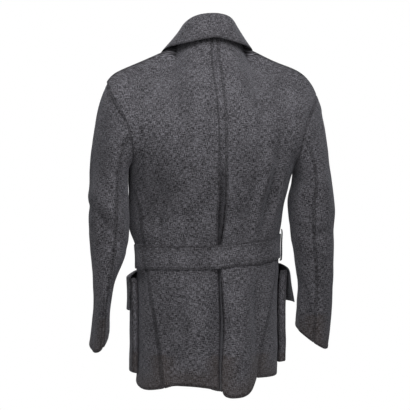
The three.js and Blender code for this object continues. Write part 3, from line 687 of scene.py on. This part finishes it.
GRAIN_SHIFT = (0.77, 0.31)  # metres of cloth from one piece's grain to the next
PLUMP_FADE = (0.0004, 0.0016)  # distances from the rim over which the plumping ends
# Painted shade in the fold troughs: the colour darkens with a trough's depth, up to a limit.
FOLD_SHADE_DEPTH = 0.009  # a fold trough this deep gets the full painted shade
FOLD_SHADE_MOST = 0.45
WORN_SLEEVE_BELOW = -0.60
WORN_HEM_BELOW = -0.68
WORN_FADE = (0.004, 0.045)
WORN_MOST = 0.75
SEWN_WITHIN = 0.0024  # a sleeve's place this near to the body is sewn to it


@dataclass
class CutPiece:
    """One cut piece of the coat's cloth, made on the form of its frame node."""

    node: str
    flat: Pair
    area: float
    held: str = "hung"
    rests_on: tuple[str, ...] = ()
    stitching: Stitching = Stitching.NONE
    levels: int = 2
    sharp: float = 48.0
    edge: float = 0.0008
    plump: float = 0.0
    own: tuple[Fold, ...] = ()
    applied: bool = False  # set where it stands off the tube, so its distance counts in the grain

    @property
    def name(self) -> str:
        """The piece's own name."""
        return f"wool_{self.node}"

    def cut(self) -> bpy.types.Object:
        """Copies the frame node, recovers its quads, rounds its edges and smooths it.

        Returns:
            The new object.
        """
        obj = bpy.data.objects.new(self.name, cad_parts[self.node].data.copy())
        bpy.context.scene.collection.objects.link(obj)
        obj.data.materials.clear()
        only(obj)
        bpy.ops.object.mode_set(mode="EDIT")
        bpy.ops.mesh.select_all(action="SELECT")
        bpy.ops.mesh.remove_doubles(threshold=1e-6)
        bpy.ops.mesh.tris_convert_to_quads(face_threshold=1.25, shape_threshold=3.14, topology_influence=2.0)
        bpy.ops.mesh.customdata_custom_splitnormals_clear()
        bpy.ops.object.mode_set(mode="OBJECT")
        obj.data.materials.append(None)
        obj.data.materials.append(None)
        finish_with(
            obj,
            "BEVEL",
            limit_method="ANGLE",
            angle_limit=math.radians(self.sharp),
            width=self.edge,
            segments=1,
            use_clamp_overlap=False,
            material=1,
        )
        finish_with(obj, "SUBSURF", levels=self.levels, render_levels=self.levels)
        return obj

    @staticmethod
    def _from_rim(mesh: bpy.types.Mesh, points: np.ndarray) -> np.ndarray:
        """Returns each vertex's distance from the rounded edges, at most 5 cm."""
        rim = {v for face in mesh.polygons if face.material_index == 1 for v in face.vertices}
        tree = KDTree(len(rim))
        for index in rim:
            tree.insert(points[index], index)
        tree.balance()
        return np.array([min(tree.find(place)[2], 0.05) for place in points])

    def lay_grain(self, mesh: bpy.types.Mesh, tube: Tube, points: np.ndarray, number: int) -> None:
        """Gives the piece its UV map, in metres of cloth.

        Args:
            mesh: The piece's mesh.
            tube: The tube that it wraps.
            points: Its places before the folds.
            number: Sets the piece's cloth apart from its neighbours'.
        """
        corners = np.empty(len(mesh.loops), dtype=int)
        mesh.loops.foreach_get("vertex_index", corners)
        first = np.empty(len(mesh.polygons), dtype=int)
        count = np.empty(len(mesh.polygons), dtype=int)
        mesh.polygons.foreach_get("loop_start", first)
        mesh.polygons.foreach_get("loop_total", count)
        turn = tube.turn_of(points)
        lead = np.repeat(turn[corners[first]], count)
        local = lead + wrapped(turn[corners] - lead)
        grain = tube.grain(local, points[corners, 2])
        if self.applied:
            grain += tube.proud(points)[corners, None]
        layer = mesh.uv_layers.new(name="grain")
        layer.data.foreach_set("uv", (grain + np.multiply(GRAIN_SHIFT, number)).astype(np.float32).ravel())

    def make(self, relief: Relief, wool: dict[Stitching, bpy.types.Material], number: int) -> bpy.types.Object:
        """Args:
            relief: The folds of its tube.
            wool: The materials, by stitching.
            number: The piece's number in the coat.

        Returns:
            The finished object.
        """
        obj = self.cut()
        mesh = obj.data
        points = points_of(mesh)
        rim = self._from_rim(mesh, points)
        self.lay_grain(mesh, relief.tube, points, number)
        moves, height = relief.lift(points, self.own)
        normals = np.empty(len(points) * 3, dtype=np.float32)
        mesh.vertices.foreach_get("normal", normals)
        moves += normals.reshape(-1, 3) * (self.plump * (1.0 - step(*PLUMP_FADE, rim)))[:, None]
        mesh.vertices.foreach_set("co", (points + moves).astype(np.float32).ravel())
        put_values(mesh, "rim", rim)
        # painted shade: each vertex's trough depth sets how much shade is painted on it
        put_values(mesh, "painted_fold_shade", np.clip(-height / FOLD_SHADE_DEPTH, 0.0, FOLD_SHADE_MOST))
        low = points[:, 2] < (WORN_SLEEVE_BELOW if "sleeve" in self.node else WORN_HEM_BELOW)
        put_values(mesh, "worn", np.where(low, WORN_MOST * (1.0 - step(*WORN_FADE, rim)), 0.0))
        mesh.materials.clear()
        mesh.materials.append(wool[self.stitching])
        mesh.polygons.foreach_set("material_index", np.zeros(len(mesh.polygons), dtype=int))
        mesh.polygons.foreach_set("use_smooth", np.ones(len(mesh.polygons), dtype=bool))
        mesh.update()
        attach(obj, "root")
        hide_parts(self.node)
        log.info("%s: %d faces", self.name, len(mesh.polygons))
        return obj


@dataclass
class SubAssembly:
    """A group of cut pieces that share one tube and its folds."""

    relief: Relief
    wool: dict[Stitching, bpy.types.Material]
    first: int
    pieces: tuple[CutPiece, ...] = ()

    def build(self) -> list[bpy.types.Object]:
        """Makes every piece of the group, in order.

        Returns:
            The finished objects.
        """
        made = []
        for number, piece in enumerate(self.pieces, self.first):
            obj = piece.make(self.relief, self.wool, number)
            made.append(obj)
        return made


# ---------------------------------------------------------------- the coat's sub-assemblies

BODY_NODES = ("back_left", "back_right", "front_left", "front_right")

BODY_FOLDS = (
    Fold(((0.140, -0.187), (0.119, -0.323), (0.098, -0.415)), -0.0035, 0.009),
    Fold(((0.085, -0.229), (0.075, -0.303), (0.067, -0.380)), -0.0028, 0.009),
    Fold(((0.111, -0.215), (0.097, -0.310), (0.083, -0.405)), 0.0025, 0.010),
    Fold(((0.160, -0.230), (0.141, -0.320), (0.125, -0.400)), 0.0025, 0.009),
    Fold(((-0.126, -0.350), (-0.125, -0.437)), -0.0035, 0.008),
    Fold(((-0.150, -0.250), (-0.128, -0.320), (-0.100, -0.372)), -0.0022, 0.010),
    Fold(((-0.168, -0.290), (-0.150, -0.345), (-0.148, -0.395)), -0.0025, 0.009),
    Fold(((-0.112, -0.398), (-0.070, -0.409), (-0.022, -0.405)), 0.0016, 0.009),
    Fold(((0.030, -0.402), (0.070, -0.398), (0.112, -0.386)), 0.0015, 0.009),
    Fold(((-0.050, -0.090), (-0.078, -0.135), (-0.088, -0.200)), -0.0014, 0.020),
    Fold(((0.050, -0.080), (0.090, -0.125), (0.098, -0.185)), -0.0014, 0.020),
    Fold(((-0.108, -0.500), (-0.112, -0.590), (-0.104, -0.700)), -0.0022, 0.012),
    Fold(((0.084, -0.500), (0.088, -0.600), (0.094, -0.740)), -0.0030, 0.010),
    Fold(((0.020, -0.498), (0.016, -0.600), (0.018, -0.740)), -0.0018, 0.010),
    Fold(((-0.075, -0.510), (-0.070, -0.600), (-0.078, -0.690)), -0.0016, 0.011),
    Fold(((-0.030, -0.250), (-0.075, -0.300), (-0.120, -0.390)), -0.0030, 0.013, Face.FRONT),
    Fold(((0.035, -0.255), (0.080, -0.305), (0.125, -0.395)), -0.0030, 0.013, Face.FRONT),
    Fold(((-0.030, -0.395), (-0.080, -0.408), (-0.130, -0.400)), 0.0022, 0.010, Face.FRONT),
    Fold(((0.030, -0.390), (0.080, -0.400), (0.130, -0.392)), 0.0022, 0.010, Face.FRONT),
    Fold(((-0.035, -0.500), (-0.040, -0.600), (-0.036, -0.720)), -0.0024, 0.012, Face.FRONT),
    Fold(((0.035, -0.495), (0.042, -0.600), (0.044, -0.710)), -0.0024, 0.012, Face.FRONT),
)

PLEAT_FOLDS = (
    Fold(((0.004, -0.285), (0.006, -0.395), (0.004, -0.470)), -0.013, 0.008),
    Fold(((0.006, -0.490), (0.004, -0.600), (0.000, -0.700)), -0.010, 0.012),
)

LEFT_SLEEVE_FOLDS = (
    Fold(((-0.272, -0.352), (-0.245, -0.385), (-0.200, -0.440)), -0.0050, 0.008, Face.ROUND),
    Fold(((-0.270, -0.328), (-0.240, -0.360), (-0.205, -0.400)), 0.0026, 0.010, Face.ROUND),
    Fold(((-0.268, -0.402), (-0.240, -0.424), (-0.215, -0.452)), -0.0028, 0.008, Face.ROUND),
    Fold(((-0.258, -0.452), (-0.238, -0.470), (-0.218, -0.478)), -0.0024, 0.008, Face.ROUND),
    Fold(((-0.252, -0.215), (-0.250, -0.270), (-0.252, -0.320)), -0.0026, 0.010),
    Fold(((-0.205, -0.268), (-0.212, -0.320), (-0.204, -0.372)), -0.0022, 0.009, Face.ROUND),
    Fold(((-0.246, -0.520), (-0.240, -0.570), (-0.246, -0.640)), -0.0018, 0.008, Face.ROUND),
    Fold(((-0.270, -0.215), (-0.262, -0.262), (-0.266, -0.305)), 0.0018, 0.011, Face.FRONT),
)

RIGHT_SLEEVE_FOLDS = (
    Fold(((0.214, -0.520), (0.222, -0.560), (0.234, -0.630)), -0.0035, 0.008, Face.ROUND),
    Fold(((0.195, -0.396), (0.232, -0.414), (0.272, -0.405)), -0.0034, 0.009, Face.ROUND),
    Fold(((0.196, -0.426), (0.232, -0.440), (0.270, -0.436)), 0.0018, 0.010, Face.ROUND),
    Fold(((0.210, -0.270), (0.222, -0.320), (0.216, -0.380)), -0.0024, 0.010, Face.ROUND),
    Fold(((0.262, -0.200), (0.262, -0.260), (0.266, -0.320)), -0.0020, 0.011),
    Fold(((0.256, -0.470), (0.262, -0.530), (0.258, -0.610)), -0.0018, 0.009, Face.ROUND),
)


def armhole_points() -> np.ndarray:
    """Finds the places where the sleeves are sewn into the body.

    Returns:
        One row for each place, in metres.
    """
    body = np.concatenate([points_of(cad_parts[name].data) for name in BODY_NODES])
    tree = KDTree(len(body))
    for index, place in enumerate(body):
        tree.insert(place, index)
    tree.balance()
    found = []
    for side in ("left", "right"):
        for part in ("top", "under"):
            points = np.unique(points_of(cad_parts[f"sleeve_{part}_{side}"].data).round(5), axis=0)
            found += [place for place in points if tree.find(place)[2] < SEWN_WITHIN]
    return np.array(found)


@dataclass
class Body(SubAssembly):
    """The back with its pleat, the fronts and the lapels."""

    pieces: tuple[CutPiece, ...] = (
        CutPiece("back_left", (0.285, 0.829), 0.1526, rests_on=("wool_back_right",), plump=0.0004),
        CutPiece("back_right", (0.309, 0.855), 0.1458, rests_on=("wool_back_left",), plump=0.0004),
        CutPiece(
            "back_pleat",
            (0.068, 0.828),
            0.0432,
            "folded",
            ("wool_back_right",),
            plump=0.0005,
            own=PLEAT_FOLDS,
            applied=True,
        ),
        CutPiece("front_left", (0.383, 0.801), 0.2199, rests_on=("wool_back_left",), plump=0.0004),
        CutPiece("front_right", (0.384, 0.798), 0.2078, rests_on=("wool_back_right",), plump=0.0004),
        CutPiece("lapel_left", (0.088, 0.166), 0.0084, "folded", ("wool_front_left",), Stitching.EDGE),
        CutPiece("lapel_right", (0.091, 0.121), 0.0049, "folded", ("wool_front_right",), Stitching.EDGE),
    )


@dataclass
class Waist(SubAssembly):
    """The belt and the loops that carry it."""

    pieces: tuple[CutPiece, ...] = (
        CutPiece(
            "belt",
            (1.009, 0.054),
            None,
            "laid",
            ("wool_back_left", "wool_back_right"),
            Stitching.EDGE,
            levels=3,
            applied=True,
        ),
        CutPiece("belt_loop_left", (0.035, 0.069), None, "laid", ("wool_belt",), levels=3, applied=True),
        CutPiece("belt_loop_right", (0.026, 0.075), None, "laid", ("wool_belt",), levels=3, applied=True),
    )


@dataclass
class Pockets(SubAssembly):
    """The bellows patch pockets and their flaps."""

    pieces: tuple[CutPiece, ...] = tuple(
        CutPiece(node, flat, area, "hung", (f"wool_front_{side}",), Stitching.EDGE, applied=True)
        for node, side, flat, area in (
            ("pocket_left", "left", (0.211, 0.230), 0.0467),
            ("pocket_right", "right", (0.221, 0.229), 0.0489),
            ("pocket_flap_left", "left", (0.201, 0.099), 0.0189),
            ("pocket_flap_right", "right", (0.220, 0.104), 0.0207),
        )
    )


@dataclass
class Collar(SubAssembly):
    """The turned-down collar, stand and fall in one."""

    pieces: tuple[CutPiece, ...] = (
        CutPiece(
            "collar", (0.457, 0.120), 0.0365, "folded", ("wool_back_left",), Stitching.EDGE, levels=3, sharp=70.0
        ),
    )


def sleeve_pieces(side: str, top: tuple[Pair, float], under: tuple[Pair, float]) -> tuple[CutPiece, ...]:
    """Lists the two pieces of a sleeve.

    Args:
        side: left or right.
        top: The top sleeve's flat size and area.
        under: The under sleeve's.

    Returns:
        The pieces.
    """
    return (
        CutPiece(f"sleeve_top_{side}", *top, rests_on=(f"wool_front_{side}",), plump=0.0006),
        CutPiece(f"sleeve_under_{side}", *under, rests_on=(f"wool_back_{side}",), plump=0.0006),
    )


LEFT_SLEEVE_PIECES = sleeve_pieces("left", ((0.346, 0.609), 0.1105), ((0.219, 0.491), 0.0566))
RIGHT_SLEEVE_PIECES = sleeve_pieces("right", ((0.323, 0.590), 0.1105), ((0.204, 0.483), 0.0540))


@dataclass
class Buttons:
    """The horn buttons of the fronts and the belt, each sewn through four holes."""

    relief: Relief
    radius: float = 0.011
    height: float = 0.0040
    brim: float = 0.0026
    dish: float = 0.0012
    hole: float = 0.0010
    spread: float = 0.0019
    thread: float = 0.00045
    nodes: tuple[str, ...] = ("button_1", "button_2", "button_3", "button_4", "belt_button")

    def _select_face(self, mesh: bpy.types.Mesh) -> None:
        """Selects the flat top face alone, in edit mode."""
        bpy.ops.mesh.select_all(action="DESELECT")
        shape = bmesh.from_edit_mesh(mesh)
        top = max(shape.faces, key=lambda face: (round(face.calc_center_median().z, 5), face.calc_area()))
        top.select_set(True)
        bmesh.update_edit_mesh(mesh)

    def _select_rings(self, mesh: bpy.types.Mesh, radius: float) -> None:
        """Selects the edge rings at a radius, in edit mode.

        Args:
            mesh: The button's mesh.
            radius: The rings' distance from the axis.
        """
        bpy.ops.mesh.select_all(action="DESELECT")
        shape = bmesh.from_edit_mesh(mesh)
        for edge in shape.edges:
            level = abs(edge.verts[0].co.z - edge.verts[1].co.z) < 1e-6
            if level and all(abs(v.co.xy.length - radius) < 2e-4 for v in edge.verts):
                edge.select_set(True)
        bmesh.update_edit_mesh(mesh)

    def model(self) -> bpy.types.Object:
        """Models one button on its axis, foot at the origin and face up.

        Returns:
            The button with its thread, in two materials.
        """
        bpy.ops.object.select_all(action="DESELECT")
        bpy.ops.mesh.primitive_cylinder_add(
            vertices=40, radius=self.radius, depth=self.height, location=(0, 0, self.height / 2)
        )
        disc = bpy.context.active_object
        bpy.ops.object.transform_apply(location=True, rotation=True, scale=True)
        bpy.ops.object.mode_set(mode="EDIT")
        self._select_face(disc.data)
        bpy.ops.mesh.inset(thickness=self.brim, depth=0)
        self._select_face(disc.data)
        bpy.ops.mesh.inset(thickness=0.0009, depth=-self.dish)
        self._select_rings(disc.data, self.radius)
        bpy.ops.mesh.bevel(offset=0.0010, segments=3, affect="EDGES")
        self._select_rings(disc.data, self.radius - self.brim)
        bpy.ops.mesh.bevel(offset=0.0004, segments=2, affect="EDGES")
        bpy.ops.object.mode_set(mode="OBJECT")
        for x in (-self.spread, self.spread):
            for y in (-self.spread, self.spread):
                bpy.ops.object.select_all(action="DESELECT")
                bpy.ops.mesh.primitive_cylinder_add(
                    vertices=14, radius=self.hole, depth=4 * self.height, location=(x, y, 0)
                )
                drill = bpy.context.active_object
                finish_with(disc, "BOOLEAN", object=drill, operation="DIFFERENCE", solver="EXACT")
                bpy.data.objects.remove(drill)
        only(disc)
        bpy.ops.object.shade_smooth_by_angle(angle=math.radians(32))
        disc.data.materials.clear()
        disc.data.materials.append(HornButton().build("horn"))
        strands = [self._strand(y) for y in (-self.spread, self.spread)]
        only(disc, *strands)
        bpy.ops.object.join()
        return disc

    def _strand(self, y: float) -> bpy.types.Object:
        """Models one loop of thread through two holes.

        Args:
            y: The loop's place across the button.

        Returns:
            The loop.
        """
        bpy.ops.object.select_all(action="DESELECT")
        bpy.ops.mesh.primitive_torus_add(
            major_radius=self.spread,
            minor_radius=self.thread,
            major_segments=28,
            minor_segments=8,
            location=(0, y, self.height - self.dish - 0.0009),
            rotation=(math.pi / 2, 0, 0),
        )
        loop = bpy.context.active_object
        bpy.ops.object.transform_apply(location=True, rotation=True, scale=True)
        bpy.ops.object.shade_smooth()
        thread = bpy.data.materials.get("button_thread") or SewingThread().build("button_thread")
        loop.data.materials.append(thread)
        return loop

    def _seat(self, node: str) -> Matrix:
        """Finds where a button sits on the folded cloth.

        Args:
            node: The button's frame node.

        Returns:
            The matrix from the button's own axes to its seat.
        """
        points = points_of(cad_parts[node].data)
        points = np.unique(points.round(6), axis=0)
        middle = (points.min(axis=0) + points.max(axis=0)) / 2
        axis = Vector(np.linalg.svd(points - points.mean(axis=0))[2][2])
        out = Vector(middle) - Vector((0, 0, middle[2]))
        axis = axis if axis.dot(out) > 0 else -axis
        reach = (points - middle) @ np.array(axis)
        shift = self.relief.lift(middle[None])[0][0]
        foot = Vector(middle + shift) + axis * float(reach.min())
        return Matrix.Translation(foot) @ axis.to_track_quat("Z", "Y").to_matrix().to_4x4()

    def build(self) -> list[bpy.types.Object]:
        """Places a button on each of the frame's seats.

        Returns:
            The finished buttons.
        """
        pattern = self.model()
        made = []
        for node in self.nodes:
            obj = bpy.data.objects.new(f"horn_{node}", pattern.data.copy())
            bpy.context.scene.collection.objects.link(obj)
            obj.data.transform(self._seat(node))
            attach(obj, "root")
            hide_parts(node)
            log.info("%s: %d faces", obj.name, len(obj.data.polygons))
            made.append(obj)
        bpy.data.objects.remove(pattern)
        return made


# ---------------------------------------------------------------- studio


@dataclass
class Studio:
    """The floor, the soft light and the camera at the photograph's angle."""

    target: Colour = (-0.0137, 0.0, -0.349)
    azimuth: float = -10.0
    distance: float = 3.3
    width: float = 0.9225
    floor_height: float = -1.2
    floor_radius: float = 2.4
    sensor: float = 36.0

    def _way(self, azimuth: float, elevation: float) -> Vector:
        """Returns the direction from the target to a viewpoint.

        Args:
            azimuth: Degrees round from the back.
            elevation: Degrees above the horizon.
        """
        turn, rise = math.radians(azimuth), math.radians(elevation)
        return Vector((math.sin(turn) * math.cos(rise), -math.cos(turn) * math.cos(rise), math.sin(rise)))

    def camera(self) -> None:
        """Sets the camera."""
        data = bpy.data.cameras.new("view")
        data.sensor_width = self.sensor
        data.lens = self.sensor * self.distance / self.width
        data.clip_end = 50.0
        obj = bpy.data.objects.new("view", data)
        bpy.context.scene.collection.objects.link(obj)
        way = self._way(self.azimuth, 0.0)
        obj.location = Vector(self.target) + way * self.distance
        obj.rotation_euler = (-way).to_track_quat("-Z", "Y").to_euler()
        bpy.context.scene.camera = obj

    def lamp(self, name: str, azimuth: float, elevation: float, size: float, power: float, away: float = 2.6) -> None:
        """Adds a soft area light that faces the coat.

        Args:
            name: The light's name.
            azimuth: Degrees round from the back.
            elevation: Degrees above the horizon.
            size: The light's side, in metres.
            power: Its power, in watts.
            away: Its distance, in metres.
        """
        data = bpy.data.lights.new(name, "AREA")
        data.size = size
        data.energy = power
        obj = bpy.data.objects.new(name, data)
        bpy.context.scene.collection.objects.link(obj)
        way = self._way(azimuth, elevation)
        obj.location = Vector(self.target) + way * away
        obj.rotation_euler = (-way).to_track_quat("-Z", "Y").to_euler()

    def floor(self) -> None:
        """Adds the round pale floor."""
        bpy.ops.object.select_all(action="DESELECT")
        bpy.ops.mesh.primitive_circle_add(
            vertices=96, radius=self.floor_radius, fill_type="NGON", location=(0, 0, self.floor_height)
        )
        obj = bpy.context.active_object
        obj.name = "floor"
        bpy.ops.object.transform_apply(location=True, rotation=True, scale=True)
        obj.data.materials.append(PaleFloor().build("pale_floor"))

    def sky(self, light: float) -> None:
        """Sets a white surround that lights the coat less than it shows.

        Args:
            light: The strength with which it lights the scene.
        """
        world = bpy.data.worlds.new("white")
        bpy.context.scene.world = world
        world.use_nodes = True
        nodes, links = world.node_tree.nodes, world.node_tree.links
        nodes.clear()
        shown, lit = nodes.new("ShaderNodeBackground"), nodes.new("ShaderNodeBackground")
        shown.inputs["Strength"].default_value = 1.0
        shown.inputs["Color"].default_value = (1, 1, 1, 1)
        lit.inputs["Color"].default_value = (1, 1, 1, 1)
        lit.inputs["Strength"].default_value = light
        mix, path = nodes.new("ShaderNodeMixShader"), nodes.new("ShaderNodeLightPath")
        out = nodes.new("ShaderNodeOutputWorld")
        links.new(path.outputs["Is Camera Ray"], mix.inputs[0])
        links.new(lit.outputs[0], mix.inputs[1])
        links.new(shown.outputs[0], mix.inputs[2])
        links.new(mix.outputs[0], out.inputs["Surface"])

    def build(self) -> None:
        """Sets up the whole studio."""
        self.camera()
        self.floor()
        self.sky(0.07)
        self.lamp("key", -2.0, 47.0, 1.0, 26.0, 1.8)
        self.lamp("fill", -22.0, 8.0, 1.8, 12.0)
        self.lamp("front", 165.0, 35.0, 1.8, 24.0)
        view = bpy.context.scene.view_settings
        view.view_transform = "Standard"
        view.look = "None"


# ---------------------------------------------------------------- the whole coat


def main() -> None:
    """Builds the studio and the coat, and notes its size."""
    logging.basicConfig(level=logging.INFO, format="%(name)s %(message)s")
    Studio().build()
    cloth = WoolCloth()
    wool = {
        Stitching.NONE: cloth.build("wool_plain", Stitching.NONE),
        Stitching.EDGE: cloth.build("wool_stitched", Stitching.EDGE),
    }
    sewn = armhole_points()
    torso = Relief(Tube(BODY_NODES, -0.72, 0.0), BODY_FOLDS, 11, ceiling=-0.02, still=sewn)
    left = Tube(("sleeve_top_left", "sleeve_under_left"), -0.62, -0.08, -0.27)
    right = Tube(("sleeve_top_right", "sleeve_under_right"), -0.62, -0.10, -0.27)
    arms = {
        "left": Relief(left, LEFT_SLEEVE_FOLDS, 31, still=sewn),
        "right": Relief(right, RIGHT_SLEEVE_FOLDS, 47, still=sewn),
    }
    neck = Relief(Tube(("collar",), -0.04, 0.07), (), 59, swell=0.0006, ripple=0.0002)
    groups = (
        Body(torso, wool, 0),
        SubAssembly(arms["left"], wool, 10, LEFT_SLEEVE_PIECES),
        SubAssembly(arms["right"], wool, 14, RIGHT_SLEEVE_PIECES),
        Collar(neck, wool, 18),
        Waist(torso, wool, 20),
        Pockets(torso, wool, 24),
    )
    made = [obj for group in groups for obj in group.build()]
    made += Buttons(torso).build()
    log.info("%d pieces", len(made))


if __name__ == "__main__":
    main()
